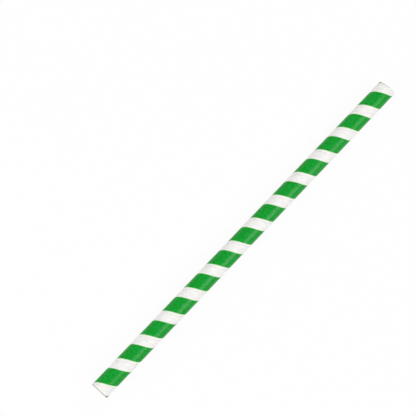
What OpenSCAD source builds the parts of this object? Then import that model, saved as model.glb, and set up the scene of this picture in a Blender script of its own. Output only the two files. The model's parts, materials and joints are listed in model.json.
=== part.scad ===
// Paper drinking straw: a tube wound from glued paper ribbons, cut square at both ends.
// The outer ribbon carries one printed stripe, so the winding shows as a right-handed spiral.
// The straw lies on its side along X, with the origin on the surface under its middle.

/* [Tube] */
// Outer diameter of the bare paper tube
straw_d = 10; // [6:0.5:14]
// Length between the two cut ends
straw_length = 216; // [120:1:300]

/* [Wall] */
// Number of paper plies wound on top of each other
ply_count = 3; // [2:1:5]
// Thickness of one glued ply
ply_thickness = 0.15; // [0.1:0.01:0.25]

/* [Winding] */
// Advance along the straw in one turn: a 14.5 mm ribbon wound edge to edge on a 10 mm tube
winding_pitch = 16.35; // [12:0.05:30]

/* [Printed stripe] */
// Share of the outer ribbon's width that is printed
stripe_share = 0.573; // [0.2:0.001:0.8]
// Distance from the first cut end to the stripe, along the top of the straw
stripe_start = 5.1; // [0:0.05:16]
// Height of the printed field above the bare paper
stripe_relief = 0.02; // [0.01:0.005:0.1]

/* [Hidden] */
straw_r = straw_d / 2;
wall = ply_count * ply_thickness;
bore_d = straw_d - 2 * wall;
// How far the cutter of the bore runs past each end
bore_overrun = 1;
round_faces = 96;
// Straight steps in one turn of the stripe
turn_steps = 20;
step_angle = 360 / turn_steps;
top_angle = 90;
stripe_width = stripe_share * winding_pitch;
// The stripe is rooted halfway down the wall
root_r = straw_r - wall / 2;
// The middle of each flat stands one relief above the paper, and a flat of the stripe rests on the surface
axis_height = straw_r + stripe_relief;
face_r = axis_height / cos(step_angle / 2);
// Steps at which the stripe enters at the first end and has left at the second
first_step = ceil(step_at(-stripe_width));
last_step = floor(step_at(straw_length));

// Angle of a step about the axis, from +Y towards +Z: half a step on, so that a flat is underneath
function step_turn(i) = (i + 0.5) * step_angle;
// Where the stripe's first edge lies along the axis at a step, and the step at which it lies there
function edge_at(i) = stripe_start + (step_turn(i) - top_angle) / 360 * winding_pitch;
function step_at(x) = ((x - stripe_start) / winding_pitch * 360 + top_angle) / step_angle - 0.5;
function within(x) = max(0, min(straw_length, x));

// One ring of the stripe's section: root and face at its first edge, then face and root at its second
function ring(i) =
    let (
        a = step_turn(i),
        x0 = within(edge_at(i)),
        x1 = within(edge_at(i) + stripe_width)
    )
    [for (p = [[root_r, x0], [face_r, x0], [face_r, x1], [root_r, x1]])
        [p[0] * cos(a), p[0] * sin(a), p[1]]];

// The printed field, swept along the winding and trimmed by both cut ends
module printed_stripe() {
    rings = last_step - first_step;
    points = [for (i = [first_step : last_step]) each ring(i)];
    sides = [
        for (i = [0 : rings - 1], k = [0 : 3])
        let (a = 4 * i + k, b = 4 * i + (k + 1) % 4)
        each [[a, b + 4, a + 4], [a, b, b + 4]]
    ];
    caps = [[3, 2, 1, 0], [for (k = [0 : 3]) 4 * rings + k]];
    polyhedron(points = points, faces = concat(sides, caps), convexity = 20);
}

// The rolled wall: a true outer cylinder with a true bore, open from end to end
module wound_wall() {
    difference() {
        cylinder(d = straw_d, h = straw_length, $fn = round_faces);
        translate([0, 0, -bore_overrun])
            cylinder(d = bore_d, h = straw_length + 2 * bore_overrun, $fn = round_faces);
    }
}

module straw_tube() {
    translate([-straw_length / 2, 0, axis_height])
        rotate([90, 0, 90]) {
            color("white")
                wound_wall();
            color([0.06, 0.6, 0.2])
                printed_stripe();
        }
}

straw_tube();
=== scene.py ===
"""Looks of one paper drinking straw, wound from ribbon and printed with a spiral stripe."""

import json
import math

import bpy
from mathutils import Matrix, Vector


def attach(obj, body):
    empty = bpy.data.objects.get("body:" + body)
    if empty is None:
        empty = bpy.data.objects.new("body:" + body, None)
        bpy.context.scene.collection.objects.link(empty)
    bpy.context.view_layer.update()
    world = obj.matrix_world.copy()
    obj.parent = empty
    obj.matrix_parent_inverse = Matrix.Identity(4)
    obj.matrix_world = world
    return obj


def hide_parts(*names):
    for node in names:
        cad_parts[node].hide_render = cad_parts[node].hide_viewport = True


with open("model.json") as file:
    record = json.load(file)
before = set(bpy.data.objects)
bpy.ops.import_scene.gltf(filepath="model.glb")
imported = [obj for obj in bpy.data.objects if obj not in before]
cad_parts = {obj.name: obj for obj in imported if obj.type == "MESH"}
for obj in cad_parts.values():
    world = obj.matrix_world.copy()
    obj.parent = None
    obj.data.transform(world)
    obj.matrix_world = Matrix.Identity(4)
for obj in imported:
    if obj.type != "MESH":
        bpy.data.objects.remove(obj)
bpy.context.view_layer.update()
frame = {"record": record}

bl_info = {
    "name": "Paper Drinking Straw",
    "version": (1, 0, 0),
    "blender": (4, 5, 0),
    "location": "3D View > Sidebar > Straw",
    "description": "Winds a paper straw from printed ribbon and sets its stage",
    "category": "Add Mesh",
}

MILLIMETRE = 0.001

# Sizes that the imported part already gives
mounts = {mount["name"]: mount for mount in frame["record"]["mounts"]}
AXIS_HEIGHT = mounts["outside"]["pos_m"][2]
TUBE_RADIUS = mounts["outside"]["dims"]["r_mm"] * MILLIMETRE
BORE_RADIUS = mounts["bore"]["dims"]["r_mm"] * MILLIMETRE
STRAW_LENGTH = mounts["outside"]["dims"]["length_mm"] * MILLIMETRE

STRAW_NODE = "straw_tube"
STRAW_BODY = "root"
STRAW_PIECE = "paper_straw"

# Face zones that the winding tree writes, one for each finish, and how closely a face's number has to
# match its zone's
PRINTED_FACE = 0
BORE_FACE = 1
CUT_FACE = 2
ZONE_TOLERANCE = 0.25
# The inner ribbon's seam lies this share of a turn after the outer one's
INNER_SEAM_SHARE = 0.45


def linear(red, green, blue):
    """A colour picked from a screen, 0 to 255 a channel, as Blender's linear values."""
    channels = []
    for value in (red, green, blue):
        share = value / 255
        channels.append(share / 12.92 if share <= 0.04045 else ((share + 0.055) / 1.055) ** 2.4)
    return tuple(channels)


# Fixed colours, beside the ones that a user can change in the panel
DEEP_INK = linear(0, 130, 28)
THIN_INK = linear(6, 166, 54)
RIM_INK = linear(0, 118, 26)
# Ink made darker next to each cut end
DARKENED_END_INK = linear(62, 74, 58)
INK_STAIN = linear(178, 226, 160)
CLOUDED_PAPER = linear(234, 233, 231)
LINED_PAPER = linear(225, 224, 222)
RIBBED_PAPER = linear(229, 227, 225)
# Grey in the outer seam: dirt together with painted shade in the seam's groove
SEAM_SHADE_AND_DIRT = linear(186, 184, 181)
CLOUDED_INNER_PAPER = linear(228, 226, 221)
INNER_SEAM = linear(170, 164, 152)
PALE_TUFTS = linear(232, 224, 209)
GLUE = linear(150, 134, 110)


class StrawSizes(bpy.types.PropertyGroup):
    """Sizes of the wound tube and its print."""

    length: bpy.props.FloatProperty(
        name="Length", description="Between the two cut ends", default=STRAW_LENGTH,
        min=0.12, max=0.3, unit="LENGTH", precision=4)
    tube_radius: bpy.props.FloatProperty(
        name="Tube Radius", description="Outside of the bare paper", default=TUBE_RADIUS,
        min=0.003, max=0.007, unit="LENGTH", precision=5)
    bore_radius: bpy.props.FloatProperty(
        name="Bore Radius", description="Inside of the innermost ply", default=BORE_RADIUS,
        min=0.002, max=0.0065, unit="LENGTH", precision=5)
    pitch: bpy.props.FloatProperty(
        name="Winding Pitch", description="Advance along the straw in one turn of the ribbon",
        default=16.35 * MILLIMETRE, min=0.012, max=0.03, unit="LENGTH", precision=5)
    stripe_start: bpy.props.FloatProperty(
        name="Stripe Start", description="First cut end to the stripe, along the top of the straw",
        default=5.1 * MILLIMETRE, min=0.0, max=0.016, unit="LENGTH", precision=5)
    stripe_share: bpy.props.FloatProperty(
        name="Stripe Share", description="Part of the ribbon's width that is printed",
        default=0.573, min=0.2, max=0.8, subtype="FACTOR", precision=3)
    stripe_relief: bpy.props.FloatProperty(
        name="Ink Height", description="Printed field above the bare paper",
        default=0.02 * MILLIMETRE, min=0.0, max=0.0001, unit="LENGTH", precision=6)
    ink_creep: bpy.props.FloatProperty(
        name="Ink Creep", description="Width of the pale stain beside the printed field",
        default=0.4 * MILLIMETRE, min=0.0, max=0.001, unit="LENGTH", precision=6)
    margin_share: bpy.props.FloatProperty(
        name="Ribbon Margin", description="Bare share of the ribbon between its seam and the stripe",
        default=0.1, min=0.02, max=0.4, subtype="FACTOR", precision=3)
    seam_width: bpy.props.FloatProperty(
        name="Seam Width", description="Gap where the outer ribbon meets its own edge",
        default=0.12 * MILLIMETRE, min=0.0, max=0.0005, unit="LENGTH", precision=6)
    seam_depth: bpy.props.FloatProperty(
        name="Seam Depth", description="How far the gap sinks into the wall",
        default=0.05 * MILLIMETRE, min=0.0, max=0.0001, unit="LENGTH", precision=6)
    ply_count: bpy.props.IntProperty(
        name="Plies", description="Ribbons wound on top of each other", default=3, min=2, max=5)
    ply_furrow: bpy.props.FloatProperty(
        name="Ply Furrow", description="Depth of the rounding between two plies at a cut end",
        default=0.04 * MILLIMETRE, min=0.0, max=0.0002, unit="LENGTH", precision=6)
    cut_unevenness: bpy.props.FloatProperty(
        name="Cut Unevenness", description="How far the knife's cut strays from square",
        default=0.12 * MILLIMETRE, min=0.0, max=0.001, unit="LENGTH", precision=6)
    first_slant: bpy.props.FloatProperty(
        name="First Cut Slant", description="How much shorter the first end is on its shortest side",
        default=0.2 * MILLIMETRE, min=0.0, max=0.002, unit="LENGTH", precision=5)
    first_shortest: bpy.props.FloatProperty(
        name="First Cut Turn", description="Shortest side of the first end, round from the top",
        default=math.radians(85), min=-math.pi, max=math.pi, unit="ROTATION")
    last_slant: bpy.props.FloatProperty(
        name="Last Cut Slant", description="How much shorter the last end is on its shortest side",
        default=0.6 * MILLIMETRE, min=0.0, max=0.002, unit="LENGTH", precision=5)
    last_shortest: bpy.props.FloatProperty(
        name="Last Cut Turn", description="Shortest side of the last end, round from the top",
        default=math.radians(-65), min=-math.pi, max=math.pi, unit="ROTATION")


class StrawColours(bpy.types.PropertyGroup):
    """Colours of the paper and its print."""

    ink: bpy.props.FloatVectorProperty(
        name="Ink", description="Printed stripe", default=linear(0, 158, 45),
        size=3, min=0.0, max=1.0, subtype="COLOR")
    paper: bpy.props.FloatVectorProperty(
        name="Paper", description="Bare white paper", default=linear(246, 244, 241),
        size=3, min=0.0, max=1.0, subtype="COLOR")
    cut: bpy.props.FloatVectorProperty(
        name="Cut Edge", description="Fibres at the cut ends",
        default=linear(206, 192, 170), size=3, min=0.0, max=1.0, subtype="COLOR")
    # Darker cut fibres together with painted shade of the cut end, laid as a thin line round each end
    cut_fibre_and_shade_line: bpy.props.FloatVectorProperty(
        name="Knife Mark", description="Thin line that the knife leaves round a cut end",
        default=linear(134, 122, 104), size=3, min=0.0, max=1.0, subtype="COLOR")


class Signal:
    """An output socket that takes part in plain Python expressions, each adding its Math node."""

    def __init__(self, tree, socket):
        self.tree = tree
        self.socket = socket

    def __add__(self, other):
        return self.tree.math("ADD", self, other)

    def __radd__(self, other):
        return self.tree.math("ADD", other, self)

    def __sub__(self, other):
        return self.tree.math("SUBTRACT", self, other)

    def __rsub__(self, other):
        return self.tree.math("SUBTRACT", other, self)

    def __mul__(self, other):
        return self.tree.math("MULTIPLY", self, other)

    def __rmul__(self, other):
        return self.tree.math("MULTIPLY", other, self)

    def __truediv__(self, other):
        return self.tree.math("DIVIDE", self, other)

    def __rtruediv__(self, other):
        return self.tree.math("DIVIDE", other, self)

    def __pow__(self, other):
        return self.tree.math("POWER", self, other)

    def __rpow__(self, other):
        return self.tree.math("POWER", other, self)

    def __neg__(self):
        return self.tree.math("MULTIPLY", self, -1.0)

    def __abs__(self):
        return self.tree.math("ABSOLUTE", self)

    def floor(self):
        return self.tree.math("FLOOR", self)

    def fraction(self):
        return self.tree.math("FRACT", self)

    def sine(self):
        return self.tree.math("SINE", self)

    def cosine(self):
        return self.tree.math("COSINE", self)

    def above(self, edge, softness):
        """0 below the edge and 1 above it, easing over the softness on both sides."""
        return self.tree.add(
            "ShaderNodeMapRange", {"interpolation_type": "SMOOTHSTEP"},
            {"Value": self, "From Min": edge - softness, "From Max": edge + softness})

    def beside(self, name):
        """Another output of the same node."""
        return Signal(self.tree, self.socket.node.outputs[name])


class NodeTree:
    """A node tree that grows one node at a time from Python."""

    def __init__(self, tree):
        self.tree = tree
        self.tree.nodes.clear()

    def add(self, kind, settings=None, values=None, more_items=0):
        """Adds one node, sets its settings, gives it more items where it chooses between several, then sets
        or links its sockets. Gives its first output."""
        node = self.tree.nodes.new(kind)
        for key, value in (settings or {}).items():
            setattr(node, key, value)
        for _ in range(more_items):
            node.index_switch_items.new()
        for key, value in (values or {}).items():
            self.plug(node.inputs[key], value)
        return next((Signal(self, socket) for socket in node.outputs if socket.enabled), None)

    def plug(self, socket, value):
        """Links a signal, or a list of them, into a socket, or sets the socket's own value."""
        if isinstance(value, Signal):
            self.tree.links.new(value.socket, socket)
        elif isinstance(value, list):
            for signal in value:
                self.tree.links.new(signal.socket, socket)
        else:
            socket.default_value = value

    def math(self, operation, *values):
        return self.add("ShaderNodeMath", {"operation": operation}, dict(enumerate(values)))

    def vector(self, x, y, z):
        return self.add("ShaderNodeCombineXYZ", {}, {"X": x, "Y": y, "Z": z})

    def noise(self, at, detail, roughness):
        """Noise from 0 to 1, mostly near its middle, with features about one unit across."""
        return self.add(
            "ShaderNodeTexNoise", {"noise_dimensions": "3D"},
            {"Vector": at, "Scale": 1.0, "Detail": detail, "Roughness": roughness})


# Places of the sockets that a colour's Mix node uses, whose names it shares with its other kinds
MIX_SHARE = 0
MIX_FIRST = 6
MIX_SECOND = 7


class Shader(NodeTree):
    """A material that ends in one surface."""

    def __init__(self, name):
        self.material = bpy.data.materials.new(name)
        self.material.use_nodes = True
        super().__init__(self.material.node_tree)

    def place(self):
        """The point's own X, Y and Z in metres."""
        point = self.add("ShaderNodeTexCoord").beside("Object")
        x = self.add("ShaderNodeSeparateXYZ", {}, {"Vector": point})
        return x, x.beside("Y"), x.beside("Z")

    def mix_colour(self, share, first, second):
        """Mixes two colours, where a plain colour is three linear numbers."""
        first, second = (
            value if isinstance(value, Signal) else (*value, 1.0) for value in (first, second))
        return self.add(
            "ShaderNodeMix", {"data_type": "RGBA"},
            {MIX_SHARE: share, MIX_FIRST: first, MIX_SECOND: second})

    def bump(self, height, strength, distance):
        """A normal that follows the height, of which 1 stands for the distance."""
        return self.add(
            "ShaderNodeBump", {}, {"Height": height, "Strength": strength, "Distance": distance})

    def finish(self, values):
        """Ends the material in one Principled shader."""
        surface = self.add("ShaderNodeBsdfPrincipled", {}, values)
        self.add("ShaderNodeOutputMaterial", {}, {"Surface": surface})
        return self.material


# The noise of a knife's cut: bends round the straw, detail, roughness, and its place for each end
KNIFE_BENDS = 1.7
KNIFE_DETAIL = 3.0
KNIFE_ROUGHNESS = 0.6
KNIFE_SEED = 5.0
KNIFE_SEED_STEP = 4.0
# As shares of its reach: where the nearness to a cut is half gone, and how far to both sides it fades
FADE_EDGE = 0.7
FADE_SOFTNESS = 0.3


def cut_limit(tree, angle, side, length, furrow, unevenness, slant, shortest):
    """How far from the middle the paper reaches at one end, which the knife left uneven and askew."""
    at = tree.vector(
        angle.cosine() * KNIFE_BENDS, angle.sine() * KNIFE_BENDS, KNIFE_SEED + KNIFE_SEED_STEP * side)
    wobble = tree.noise(at, KNIFE_DETAIL, KNIFE_ROUGHNESS) * unevenness
    askew = ((angle - shortest).cosine() * 0.5 + 0.5) * slant
    return length / 2.0 - furrow - wobble - askew


def end_nearness(shader, sizes, reach):
    """For the first and the last cut end, 1 at the end and 0 at the reach from it."""
    x, y, z = shader.place()
    angle = shader.math("ARCTAN2", -y, z - AXIS_HEIGHT)
    shared = (sizes.length, sizes.ply_furrow, sizes.cut_unevenness)
    first = cut_limit(shader, angle, -1, *shared, sizes.first_slant, sizes.first_shortest)
    last = cut_limit(shader, angle, 1, *shared, sizes.last_slant, sizes.last_shortest)
    edge = reach * FADE_EDGE
    softness = reach * FADE_SOFTNESS
    return 1 - (x + first).above(edge, softness), 1 - (last - x).above(edge, softness)


def ribbon_place(shader, sizes, radius, start):
    """Where a point lies on its wound ribbon: the share of its width, and millimetres along and across."""
    x, y, z = shader.place()
    around = shader.math("ARCTAN2", -y, z - AXIS_HEIGHT) / (2 * math.pi)
    raw = (x + (sizes.length / 2 - start)) / sizes.pitch - around
    across = raw.fraction()
    turn = around + raw.floor()
    pitch_mm = sizes.pitch / MILLIMETRE
    girth_mm = 2 * math.pi * radius / MILLIMETRE
    step_mm = math.hypot(pitch_mm, girth_mm)
    along_mm = turn * step_mm + across * (pitch_mm ** 2 / step_mm)
    across_mm = across * (pitch_mm * girth_mm / step_mm)
    return across, along_mm, across_mm


# The grains of a ribbon and its print. Each is a noise: features a millimetre along and across the
# ribbon, seed, detail and roughness
GRAINS = {
    "fibres": (0.9, 5.0, 3.0, 4.0, 0.6),
    "felt": (4.0, 9.0, 10.0, 3.0, 0.6),
    "cloud": (0.35, 0.6, 16.0, 2.0, 0.5),
    "streaks": (0.12, 2.4, 21.0, 3.0, 0.65),
    "patches": (0.7, 0.85, 31.0, 4.0, 0.7),
    "lines": (0.04, 1.6, 41.0, 3.0, 0.6),
    "waves": (0.55, 0.75, 61.0, 2.0, 0.5),
    "ribs": (0.28, 1.0, 71.0, 3.0, 0.6),
}
INNER_GRAINS = ("fibres", "felt", "cloud")
# Added to the seeds of the inner ribbon, so that it isn't a copy of the outer one
INNER_SEED = 50.0
# Where a seam's grey line ends from its middle, and how softly, in widths of its gap
SEAM_EDGE = 1.2
SEAM_SOFTNESS = 0.9


def ribbon_grains(shader, along_mm, across_mm, names, more_seed=0.0):
    """The named grains on a ribbon, each a noise from 0 to 1."""
    grains = {}
    for name in names:
        along, across, seed, detail, roughness = GRAINS[name]
        at = shader.vector(along_mm * along, across_mm * across, seed + more_seed)
        grains[name] = shader.noise(at, detail, roughness)
    return grains


def seam_line(sizes, across):
    """1 in the middle of the ribbon's seam and 0 beside it."""
    gap = sizes.seam_width / sizes.pitch
    from_seam = 0.5 - abs(across - 0.5)
    return 1 - from_seam.above(gap * SEAM_EDGE, gap * SEAM_SOFTNESS)


def tinted(shader, colour, grains, tints):
    """The colour with tints laid over it in order. Each tint has its grain, the grain's value where it is
    half there, how softly it sets in, how strong it gets, and its colour."""
    for name, edge, softness, strength, tint in tints:
        colour = shader.mix_colour(grains[name].above(edge, softness) * strength, colour, tint)
    return colour


def relief(grains, heights):
    """The grains laid over each other, each at its own height."""
    layers = [grains[name] * height for name, height in heights.items()]
    return sum(layers[1:], layers[0])


PAPER_IOR = 1.45
# How far the ink's edges wander with the felt and the clouds, as shares of the ribbon's width
FELT_WANDER = 0.012
CLOUD_WANDER = 0.008
# Where the ink ends past its field's edge, where its thicker rim ends inside it, and how softly, and how
# softly the stain ends, as shares of the ribbon's width
INK_EDGE = (-0.0025, 0.006)
RIM_EDGE = (0.02, 0.016)
STAIN_SOFTNESS = 0.012
# How strong the rim, the stain, the seam, the darker ink near the cuts and the thin line of darker fibres
# and painted shade at each end look
RIM_STRENGTH = 0.35
STAIN_STRENGTH = 0.8
SEAM_SHADE_AND_DIRT_STRENGTH = 0.25
END_DARKENING_STRENGTH = 0.75
FIRST_FIBRE_SHADE_STRENGTH = 0.9
LAST_FIBRE_SHADE_STRENGTH = 0.35
# How far from a cut the darker ink and the line of darker fibres and painted shade reach
END_DARKENING_REACH = 1.3 * MILLIMETRE
FIBRE_SHADE_REACH = 0.4 * MILLIMETRE
# How high each grain lies on the outer paper, in units of the relief
OUTER_HEIGHTS = {
    "waves": 4.4, "patches": 2.2, "ribs": 1.2, "fibres": 0.25, "felt": 0.15, "streaks": 0.4, "seam": -0.3}
OUTER_RELIEF = 0.04 * MILLIMETRE
# Roughness of the bare outer paper, how much less the ink has, and how much two grains vary it
OUTER_ROUGHNESS = 0.6
INK_SMOOTHNESS = 0.35
FIBRE_ROUGHNESS = 0.12
PATCH_ROUGHNESS = 0.16


def printed_paper(sizes, colours):
    """The outer ribbon: white paper with one printed stripe along it."""
    shader = Shader("striped_outer_paper")
    seam_start = sizes.stripe_start - sizes.margin_share * sizes.pitch
    across, along_mm, across_mm = ribbon_place(shader, sizes, sizes.tube_radius, seam_start)
    grains = ribbon_grains(shader, along_mm, across_mm, GRAINS)
    grains["seam"] = seam_line(sizes, across)

    # The two edges of the ink wander with the fibres
    wander = (grains["felt"] - 0.5) * FELT_WANDER + (grains["cloud"] - 0.5) * CLOUD_WANDER
    from_start = across + wander - sizes.margin_share
    to_end = (sizes.margin_share + sizes.stripe_share) - (across + wander)
    inside = shader.math("MINIMUM", from_start, to_end)
    ink = inside.above(*INK_EDGE)
    # It creeps into the bare fibres beside it, and just inside its edge it lies thicker
    stain = inside.above(-sizes.ink_creep / sizes.pitch, STAIN_SOFTNESS)
    rim = 1 - inside.above(*RIM_EDGE)

    # Ink lies unevenly: soft patches, and thin starved lines along the press direction
    ink_body = tinted(shader, DEEP_INK, grains, [
        ("patches", 0.5, 0.14, 1.0, tuple(colours.ink)),
        ("streaks", 0.56, 0.16, 0.5, THIN_INK)])
    ink_body = shader.mix_colour(rim * RIM_STRENGTH, ink_body, RIM_INK)

    # Bare paper: faint clouds, faint lines and ribs along the ribbon, and a grey line in the seam that is
    # dirt together with painted shade in its groove
    paper = tinted(shader, tuple(colours.paper), grains, [
        ("cloud", 0.5, 0.3, 0.3, CLOUDED_PAPER),
        ("lines", 0.6, 0.12, 0.3, LINED_PAPER),
        ("ribs", 0.5, 0.14, 0.7, RIBBED_PAPER)])
    paper = shader.mix_colour(grains["seam"] * SEAM_SHADE_AND_DIRT_STRENGTH, paper, SEAM_SHADE_AND_DIRT)
    paper = shader.mix_colour(stain * STAIN_STRENGTH, paper, INK_STAIN)
    colour = shader.mix_colour(ink, paper, ink_body)

    # The ink is darker next to each cut, and a thin line round each cut is darker cut fibres together with
    # painted shade of the cut end
    darkened_first, darkened_last = end_nearness(shader, sizes, END_DARKENING_REACH)
    darkened_ink = (darkened_first + darkened_last) * ink
    colour = shader.mix_colour(darkened_ink * END_DARKENING_STRENGTH, colour, DARKENED_END_INK)
    # The thin line round each cut: darker fibres and painted shade of the cut end, stronger at the first
    # end
    near_first, near_last = end_nearness(shader, sizes, FIBRE_SHADE_REACH)
    colour = shader.mix_colour(near_first * FIRST_FIBRE_SHADE_STRENGTH, colour, tuple(colours.cut_fibre_and_shade_line))
    colour = shader.mix_colour(near_last * LAST_FIBRE_SHADE_STRENGTH, colour, tuple(colours.cut_fibre_and_shade_line))

    roughness = OUTER_ROUGHNESS - ink * INK_SMOOTHNESS + (grains["fibres"] - 0.5) * FIBRE_ROUGHNESS
    return shader.finish({
        "Specular IOR Level": 0.2, "IOR": PAPER_IOR, "Base Color": colour,
        "Roughness": roughness + (grains["patches"] - 0.5) * PATCH_ROUGHNESS,
        "Normal": shader.bump(relief(grains, OUTER_HEIGHTS), strength=0.6, distance=OUTER_RELIEF)})


# How strong the seam and the frayed fibres near a cut look in the bore, and how far the fraying reaches
INNER_SEAM_STRENGTH = 0.6
FRAY_STRENGTH = 0.6
FRAY_REACH = 0.5 * MILLIMETRE
# How high each grain lies on the inner paper, in units of the relief
INNER_HEIGHTS = {"fibres": 0.6, "felt": 0.4, "seam": -0.6}
INNER_RELIEF = 0.02 * MILLIMETRE
# Roughness of the inner paper, and how much the fibres vary it
INNER_ROUGHNESS = 0.6
INNER_FIBRE_ROUGHNESS = 0.2
# How far light travels inside the paper of the bore's wall before it is scattered
WALL_SCATTER = 2.0 * MILLIMETRE


def inner_paper(sizes, colours):
    """The bore's wall: bare ribbon with its own seam, nearly half a ribbon away from the outer one."""
    shader = Shader("bare_inner_paper")
    seam_start = sizes.stripe_start - (sizes.margin_share - INNER_SEAM_SHARE) * sizes.pitch
    across, along_mm, across_mm = ribbon_place(shader, sizes, sizes.bore_radius, seam_start)
    grains = ribbon_grains(shader, along_mm, across_mm, INNER_GRAINS, INNER_SEED)
    grains["seam"] = seam_line(sizes, across)
    paper = tinted(shader, tuple(colours.paper), grains, [("cloud", 0.5, 0.25, 0.5, CLOUDED_INNER_PAPER)])
    paper = shader.mix_colour(grains["seam"] * INNER_SEAM_STRENGTH, paper, INNER_SEAM)
    near_first, near_last = end_nearness(shader, sizes, FRAY_REACH)
    paper = shader.mix_colour((near_first + near_last) * FRAY_STRENGTH, paper, tuple(colours.cut))
    # Light comes through the thin wall, so the bore isn't black when one looks along it
    return shader.finish({
        "Specular IOR Level": 0.3, "IOR": PAPER_IOR, "Base Color": paper,
        "Subsurface Weight": 1.0, "Subsurface Radius": (1.0, 1.0, 1.0), "Subsurface Scale": WALL_SCATTER,
        "Roughness": INNER_ROUGHNESS + (grains["fibres"] - 0.5) * INNER_FIBRE_ROUGHNESS,
        "Normal": shader.bump(relief(grains, INNER_HEIGHTS), strength=0.6, distance=INNER_RELIEF)})


# Half the width of a glue line and its softness, as shares of a ply's thickness, how strong it looks, and
# how deep it lies in units of the relief
GLUE_HALF_WIDTH = 0.13
GLUE_SOFTNESS = 0.1
GLUE_STRENGTH = 0.7
GLUE_DEPTH = 0.5
CUT_RELIEF = 0.04 * MILLIMETRE
# Tufts of torn fibre in a millimetre of the cut, and their noise's detail and roughness
TUFTS = 7
TUFT_DETAIL = 4.0
TUFT_ROUGHNESS = 0.65
# Roughness of the cut, and how much the tufts vary it
CUT_ROUGHNESS = 0.85
CUT_VARIATION = 0.2


def cut_paper(sizes, colours):
    """The ring of a cut end: torn fibre and darker glue lines between the plies."""
    shader = Shader("cut_paper_edge")
    x, y, z = shader.place()
    up = z - AXIS_HEIGHT
    radius = (y * y + up * up) ** 0.5
    wall = sizes.tube_radius - sizes.bore_radius
    ply = (radius - sizes.bore_radius) / (wall / sizes.ply_count)
    # Glue lies between two plies, not on the wall's own two faces
    from_glue = 0.5 - abs(ply.fraction() - 0.5)
    glue = (1 - from_glue.above(GLUE_HALF_WIDTH, GLUE_SOFTNESS)) * ply.above(0.5, GLUE_SOFTNESS)
    glue = glue * (1 - ply.above(sizes.ply_count - 0.5, GLUE_SOFTNESS))
    at = shader.vector(y / MILLIMETRE * TUFTS, up / MILLIMETRE * TUFTS, x / MILLIMETRE)
    tufts = shader.noise(at, TUFT_DETAIL, TUFT_ROUGHNESS)
    colour = tinted(
        shader, tuple(colours.cut), {"tufts": tufts}, [("tufts", 0.5, 0.25, 0.5, PALE_TUFTS)])
    colour = shader.mix_colour(glue * GLUE_STRENGTH, colour, GLUE)
    return shader.finish({
        "Specular IOR Level": 0.1, "IOR": PAPER_IOR, "Base Color": colour,
        "Roughness": CUT_ROUGHNESS + (tufts - 0.5) * CUT_VARIATION,
        "Normal": shader.bump(tufts - glue * GLUE_DEPTH, strength=0.8, distance=CUT_RELIEF)})


# The node socket that takes each kind of value
SOCKET_KINDS = {float: "NodeSocketFloat", int: "NodeSocketInt", bpy.types.Material: "NodeSocketMaterial"}


class Winding(NodeTree):
    """A geometry node tree with a named input for each of its values."""

    def __init__(self, name, values):
        super().__init__(bpy.data.node_groups.new(name, "GeometryNodeTree"))
        self.identifiers = {}
        for label, value in values.items():
            socket = self.tree.interface.new_socket(
                label, in_out="INPUT", socket_type=SOCKET_KINDS[type(value)])
            self.identifiers[label] = socket.identifier
        self.tree.interface.new_socket("Geometry", in_out="OUTPUT", socket_type="NodeSocketGeometry")
        self.group_input = self.add("NodeGroupInput")

    def input(self, label):
        return self.group_input.beside(label)

    def choose(self, index, values):
        """The value that stands at the index. The node has room for two before it gets more items."""
        sockets = dict(enumerate([index, *values]))
        return self.add("GeometryNodeIndexSwitch", {"data_type": "FLOAT"}, sockets, len(values) - 2)


# Columns of faces in one turn round the straw
GIRTH_COLUMNS = 96
# The ribbons start this many turns before the first stripe, and have this many turns more than the straw
# is long. What lies past a cut is drawn back to its rim, where merging removes it
LEAD_TURNS = 2.0
SPARE_TURNS = 3
# Two places along the straw closer than this, in metres, are the same
SAME_PLACE = 1e-7
MERGE_DISTANCE = 0.001 * MILLIMETRE
SHARP_ANGLE = math.radians(65)
# Rows of faces over the edge of one ply at a cut end, and the power that rounds it
PLY_ROWS = 6.0
PLY_ROUNDNESS = 0.6
# Half the width of the slope at each edge of the ink, as a share of the ribbon's width
INK_SLOPE = 0.004
# Rows that divide a wide strip, as shares of its width
STRIP_ROWS = (0.35, 0.65)
# Rows beside a seam: half gaps from its middle, and the share of its depth there
OUTER_SEAM_ROWS = [(0.0, 1.0), (1.0, 0.8), (1.8, 0.0), (2.6, 0.0)]
INNER_SEAM_ROWS = [(0.0, -0.6), (1.0, -0.5), (1.8, 0.0), (2.6, 0.0)]


def ribbon_limit(tree, angle, side):
    """Where the knife cut one end of the winding."""
    end = "First" if side < 0 else "Last"
    return cut_limit(
        tree, angle, side, tree.input("Length"), tree.input("Ply Furrow"), tree.input("Cut Unevenness"),
        tree.input(end + " Cut Slant"), tree.input(end + " Cut Turn"))


def grid_rows(tree, columns, rows):
    """A grid of one column more than asked, with each point's column and row."""
    grid = tree.add(
        "GeometryNodeMeshGrid", {},
        {"Size X": 1.0, "Size Y": 1.0, "Vertices X": columns + 1.0, "Vertices Y": rows})
    index = tree.add("GeometryNodeInputIndex")
    column = ((index + 0.5) / rows).floor()
    return grid, column, index - column * rows


def laid_round(tree, grid, run, angle, reach, zone):
    """The grid laid round the straw's axis, with the finish that its faces take."""
    side = angle.sine() * reach * -1.0
    up = angle.cosine() * reach + tree.input("Axis Height")
    sheet = tree.add(
        "GeometryNodeSetPosition", {}, {"Geometry": grid, "Position": tree.vector(run, side, up)})
    return tree.add(
        "GeometryNodeStoreNamedAttribute", {"data_type": "INT", "domain": "FACE"},
        {"Geometry": sheet, "Name": "zone", "Value": zone})


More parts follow.
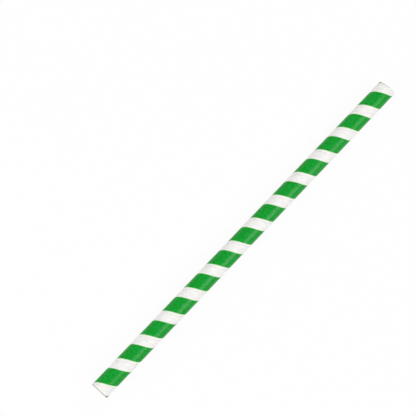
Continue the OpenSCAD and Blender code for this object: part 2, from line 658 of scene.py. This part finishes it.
def ribbon_sheet(tree, rows, radius, start, zone):
    """One wound ribbon as a sheet. Each row is a share of its width and a height over the radius."""
    shares, heights = zip(*rows)
    columns = tree.input("Girth Columns")
    grid, column, row = grid_rows(tree, columns * tree.input("Turns"), len(rows))
    turn = column / columns - LEAD_TURNS
    angle = turn * (2 * math.pi)
    free = start + (turn + tree.choose(row, shares)) * tree.input("Pitch") - tree.input("Length") / 2.0
    lowest = ribbon_limit(tree, angle, -1) * -1.0
    highest = ribbon_limit(tree, angle, 1)
    run = tree.math("MINIMUM", tree.math("MAXIMUM", free, lowest), highest)
    uncut = tree.math("COMPARE", free, run, SAME_PLACE)
    reach = radius + tree.choose(row, heights) * uncut
    return laid_round(tree, grid, run, angle, reach, zone)


def end_ring(tree, side):
    """The ring of one cut end, where each ply's edge is rounded and a furrow lies between two plies."""
    columns = tree.input("Girth Columns")
    steps = tree.input("Ply Count") * PLY_ROWS
    grid, column, ring = grid_rows(tree, columns, steps + 1.0)
    share = ring / steps
    angle = column / columns * (2 * math.pi)
    bulge = abs((share * tree.input("Ply Count") * math.pi).sine()) ** PLY_ROUNDNESS
    run = (ribbon_limit(tree, angle, side) + bulge * tree.input("Ply Furrow")) * side
    bore = tree.input("Bore Radius")
    reach = bore + (tree.input("Tube Radius") - bore) * share
    return laid_round(tree, grid, run, angle, reach, CUT_FACE)


def between_seams(half_gap, depth, seam_rows, middle_rows):
    """The rows of a ribbon from seam to seam, the same beside both of its edges."""
    first = [(half_gap * away, depth * share) for away, share in seam_rows]
    last = [(1.0 - half_gap * away, depth * share) for away, share in reversed(seam_rows)]
    return first + middle_rows + last


def ink_slope(at, before, after):
    """The rows where the print begins or ends, with a flat strip on each side of the slope."""
    return [
        (at - INK_SLOPE * 2.0, before), (at - INK_SLOPE, before),
        (at + INK_SLOPE, after), (at + INK_SLOPE * 2.0, after)]


def winding_tree(values):
    """Two wound ribbons, one outside and one in the bore, closed by a ring at each cut end."""
    tree = Winding("wound_straw", values)
    pitch = tree.input("Pitch")
    margin = tree.input("Ribbon Margin")
    stripe = tree.input("Stripe Share")
    half_gap = tree.input("Seam Width") / pitch * 0.5
    sunk = tree.input("Seam Depth") * -1.0
    ink = tree.input("Ink Height")
    stripe_end = margin + stripe
    outer_rows = between_seams(half_gap, sunk, OUTER_SEAM_ROWS, [
        *ink_slope(margin, 0.0, ink),
        *[(margin + stripe * share, ink) for share in STRIP_ROWS],
        *ink_slope(stripe_end, ink, 0.0),
        (stripe_end * 0.5 + 0.5, 0.0)])
    inner_rows = between_seams(
        half_gap, sunk, INNER_SEAM_ROWS, [(share, 0.0) for share in STRIP_ROWS])
    start = tree.input("Stripe Start") - margin * pitch
    inner_start = start + pitch * INNER_SEAM_SHARE
    outer = ribbon_sheet(tree, outer_rows, tree.input("Tube Radius"), start, PRINTED_FACE)
    inner = ribbon_sheet(tree, inner_rows, tree.input("Bore Radius"), inner_start, BORE_FACE)
    first_ring = end_ring(tree, -1)
    last_ring = end_ring(tree, 1)
    # The bore's wall and the last ring are laid with their faces inwards
    inner = tree.add("GeometryNodeFlipFaces", {}, {"Mesh": inner})
    last_ring = tree.add("GeometryNodeFlipFaces", {}, {"Mesh": last_ring})
    mesh = tree.add("GeometryNodeJoinGeometry", {}, {"Geometry": [outer, inner, first_ring, last_ring]})
    mesh = tree.add("GeometryNodeMergeByDistance", {}, {"Geometry": mesh, "Distance": MERGE_DISTANCE})
    mesh = tree.add("GeometryNodeSetShadeSmooth", {}, {"Geometry": mesh, "Shade Smooth": True})
    steep = tree.math("GREATER_THAN", tree.add("GeometryNodeInputMeshEdgeAngle"), SHARP_ANGLE)
    mesh = tree.add(
        "GeometryNodeSetShadeSmooth", {"domain": "EDGE"},
        {"Geometry": mesh, "Selection": steep, "Shade Smooth": False})
    mesh = tree.add("GeometryNodeRealizeInstances", {}, {"Geometry": mesh})
    mesh = tree.add(
        "GeometryNodeSetMaterial", {}, {"Geometry": mesh, "Material": tree.input("Printed Paper")})
    zone = tree.add("GeometryNodeInputNamedAttribute", {"data_type": "INT"}, {"Name": "zone"})
    for label, number in (("Inner Paper", BORE_FACE), ("Cut Paper", CUT_FACE)):
        chosen = tree.math("COMPARE", zone, number, ZONE_TOLERANCE)
        mesh = tree.add(
            "GeometryNodeSetMaterial", {},
            {"Geometry": mesh, "Selection": chosen, "Material": tree.input(label)})
    tree.add("NodeGroupOutput", {}, {"Geometry": mesh})
    return tree


def drop_empty_slot(mesh):
    """Takes out the empty first material slot that a node grid brings, if no face uses it."""
    numbers = [face.material_index for face in mesh.polygons]
    if mesh.materials[0] is None and min(numbers) > 0:
        mesh.materials.pop(index=0)
        mesh.polygons.foreach_set("material_index", [number - 1 for number in numbers])


class STRAW_OT_wind(bpy.types.Operator):
    """Wind the straw from its ribbons and give it its paper"""

    bl_idname = "straw.wind"
    bl_label = "Wind the Paper Straw"

    def execute(self, context):
        sizes = context.scene.straw_sizes
        colours = context.scene.straw_colours
        values = {
            "Length": sizes.length,
            "Tube Radius": sizes.tube_radius,
            "Bore Radius": sizes.bore_radius,
            "Axis Height": AXIS_HEIGHT,
            "Pitch": sizes.pitch,
            "Stripe Start": sizes.stripe_start,
            "Stripe Share": sizes.stripe_share,
            "Ink Height": sizes.stripe_relief,
            "Ribbon Margin": sizes.margin_share,
            "Seam Width": sizes.seam_width,
            "Seam Depth": sizes.seam_depth,
            "Girth Columns": GIRTH_COLUMNS,
            "Turns": math.ceil(sizes.length / sizes.pitch) + SPARE_TURNS,
            "Ply Count": sizes.ply_count,
            "Ply Furrow": sizes.ply_furrow,
            "Cut Unevenness": sizes.cut_unevenness,
            "First Cut Slant": sizes.first_slant,
            "First Cut Turn": sizes.first_shortest,
            "Last Cut Slant": sizes.last_slant,
            "Last Cut Turn": sizes.last_shortest,
            "Printed Paper": printed_paper(sizes, colours),
            "Inner Paper": inner_paper(sizes, colours),
            "Cut Paper": cut_paper(sizes, colours),
        }
        tree = winding_tree(values)
        carrier = bpy.data.objects.new("straw_winding", bpy.data.meshes.new("straw_winding"))
        context.scene.collection.objects.link(carrier)
        modifier = carrier.modifiers.new("Winding", "NODES")
        modifier.node_group = tree.tree
        for label, value in values.items():
            modifier[tree.identifiers[label]] = value
        context.view_layer.update()
        evaluated = carrier.evaluated_get(context.evaluated_depsgraph_get())
        mesh = bpy.data.meshes.new_from_object(evaluated)
        carrier.modifiers.remove(modifier)
        bpy.data.objects.remove(carrier)
        if not mesh.polygons:
            raise RuntimeError("the winding made no faces")
        drop_empty_slot(mesh)
        mesh.name = STRAW_PIECE
        straw = bpy.data.objects.new(STRAW_PIECE, mesh)
        context.scene.collection.objects.link(straw)
        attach(straw, STRAW_BODY)
        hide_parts(STRAW_NODE)
        return {"FINISHED"}


# The camera stands where the photograph was taken from
CAMERA_PLACE = (-0.0962, 0.0030, 0.66312)
CAMERA_RIGHT = (0.68504, -0.72477, 0.07365)
CAMERA_DOWN = (-0.71491, -0.68826, -0.12328)
CAMERA_LENS = 112.5
SENSOR_WIDTH = 36.0
# The floor's half side in metres, its paint, how much of its look is its own white, and the world's light
FLOOR_HALF = 3.0
FLOOR_PAINT = (0.86, 0.86, 0.86, 1.0)
FLOOR_GLOW = 0.93
WORLD_LIGHT = 0.31
WHITE = (1.0, 1.0, 1.0, 1.0)
# Where the lamps aim along the straw. Each lamp has its name, degrees round the straw, degrees of lean
# towards its last end, distance, size along and across, and light
LAMP_MIDDLE = 0.02
LAMPS = [
    ("long_key_lamp", 42.0, 8.0, 3.0, 1.25, 2.1, 0.53),
    ("first_end_lamp", -18.0, -55.0, 1.3, 0.9, 1.0, 0.35),
    ("last_end_lamp", -18.0, 60.0, 1.3, 0.9, 1.0, 0.41),
    ("left_fill_lamp", -60.0, -50.0, 1.2, 0.9, 1.0, 0.34),
]


def shown_share(tree):
    """1 where the background is seen, straight or in a gloss or a glass, and 0 where it lights things."""
    seen = tree.add("ShaderNodeLightPath")
    shown = tree.math("MAXIMUM", seen, seen.beside("Is Glossy Ray"))
    return tree.math("MAXIMUM", shown, seen.beside("Is Transmission Ray"))


def pale_floor(context):
    """A large white floor that shows white and keeps a soft shadow."""
    shader = Shader("pale_floor")
    paint = shader.add("ShaderNodeBsdfDiffuse", {}, {"Color": FLOOR_PAINT})
    glow = shader.add("ShaderNodeEmission", {}, {"Strength": 1.0})
    surface = shader.add(
        "ShaderNodeMixShader", {}, {0: shown_share(shader) * FLOOR_GLOW, 1: paint, 2: glow})
    shader.add("ShaderNodeOutputMaterial", {}, {"Surface": surface})
    mesh = bpy.data.meshes.new("floor")
    corners = [(-1, -1), (1, -1), (1, 1), (-1, 1)]
    mesh.from_pydata([(x * FLOOR_HALF, y * FLOOR_HALF, 0.0) for x, y in corners], [], [(0, 1, 2, 3)])
    mesh.materials.append(shader.material)
    floor = bpy.data.objects.new("floor", mesh)
    context.scene.collection.objects.link(floor)


def plain_world(context):
    """Even white surroundings, seen as white and lighting at a plain level."""
    world = bpy.data.worlds.new("plain_world")
    world.use_nodes = True
    tree = NodeTree(world.node_tree)
    lit = tree.add("ShaderNodeBackground", {}, {"Color": WHITE, "Strength": WORLD_LIGHT})
    shown = tree.add("ShaderNodeBackground", {}, {"Color": WHITE, "Strength": 1.0})
    surface = tree.add("ShaderNodeMixShader", {}, {0: shown_share(tree), 1: lit, 2: shown})
    tree.add("ShaderNodeOutputWorld", {}, {"Surface": surface})
    context.scene.world = world


def soft_lamp(context, name, around, lean, distance, size_along, size_across, light):
    """A rectangular lamp aimed at the straw. It stands so many degrees round the straw from straight up
    towards the viewer's right, and leans so many degrees towards the last end. Its light is what it gives
    a white surface that faces it, where 1 shows that surface as white."""
    turn = math.radians(around)
    tip = math.radians(lean)
    middle = Vector((LAMP_MIDDLE, 0.0, AXIS_HEIGHT))
    straw_line = Vector((1.0, 0.0, 0.0))
    upright = Vector((0.0, -math.sin(turn), math.cos(turn)))
    away = straw_line * math.sin(tip) + upright * math.cos(tip)
    along = straw_line * math.cos(tip) - upright * math.sin(tip)
    data = bpy.data.lights.new(name, "AREA")
    data.shape = "RECTANGLE"
    data.size = size_along
    data.size_y = size_across
    data.energy = light * math.pi ** 2 * distance ** 2
    lamp = bpy.data.objects.new(name, data)
    stand = Matrix((along, away.cross(along), away)).transposed().to_4x4()
    lamp.matrix_world = Matrix.Translation(middle + away * distance) @ stand
    context.scene.collection.objects.link(lamp)


def photo_camera(context):
    """The camera, looking down on the straw from near its first end."""
    data = bpy.data.cameras.new("camera")
    data.sensor_width = SENSOR_WIDTH
    data.lens = CAMERA_LENS
    camera = bpy.data.objects.new("camera", data)
    right = Vector(CAMERA_RIGHT).normalized()
    up = -Vector(CAMERA_DOWN)
    up = (up - right * up.dot(right)).normalized()
    back = right.cross(up)
    turn = Matrix((right, up, back)).transposed().to_4x4()
    camera.matrix_world = Matrix.Translation(CAMERA_PLACE) @ turn
    context.scene.collection.objects.link(camera)
    context.scene.camera = camera


class STRAW_OT_stage(bpy.types.Operator):
    """Set the pale floor, the lamps and the camera"""

    bl_idname = "straw.stage"
    bl_label = "Set the Stage"

    def execute(self, context):
        pale_floor(context)
        plain_world(context)
        for lamp in LAMPS:
            soft_lamp(context, *lamp)
        photo_camera(context)
        context.scene.view_settings.view_transform = "Standard"
        return {"FINISHED"}


class STRAW_PT_panel(bpy.types.Panel):
    """Lists the straw's sizes, colours and steps"""

    bl_idname = "STRAW_PT_panel"
    bl_label = "Paper Straw"
    bl_space_type = "VIEW_3D"
    bl_region_type = "UI"
    bl_category = "Straw"

    def draw(self, context):
        layout = self.layout
        for group in (context.scene.straw_sizes, context.scene.straw_colours):
            box = layout.box()
            for name in group.__annotations__:
                box.prop(group, name)
        layout.operator(STRAW_OT_wind.bl_idname)
        layout.operator(STRAW_OT_stage.bl_idname)


CLASSES = (StrawSizes, StrawColours, STRAW_OT_wind, STRAW_OT_stage, STRAW_PT_panel)


def register():
    for item in CLASSES:
        bpy.utils.register_class(item)
    bpy.types.Scene.straw_sizes = bpy.props.PointerProperty(type=StrawSizes)
    bpy.types.Scene.straw_colours = bpy.props.PointerProperty(type=StrawColours)


def unregister():
    del bpy.types.Scene.straw_sizes
    del bpy.types.Scene.straw_colours
    for item in reversed(CLASSES):
        bpy.utils.unregister_class(item)


def main():
    register()
    bpy.ops.straw.wind()
    bpy.ops.straw.stage()


if __name__ == "__main__":
    main()
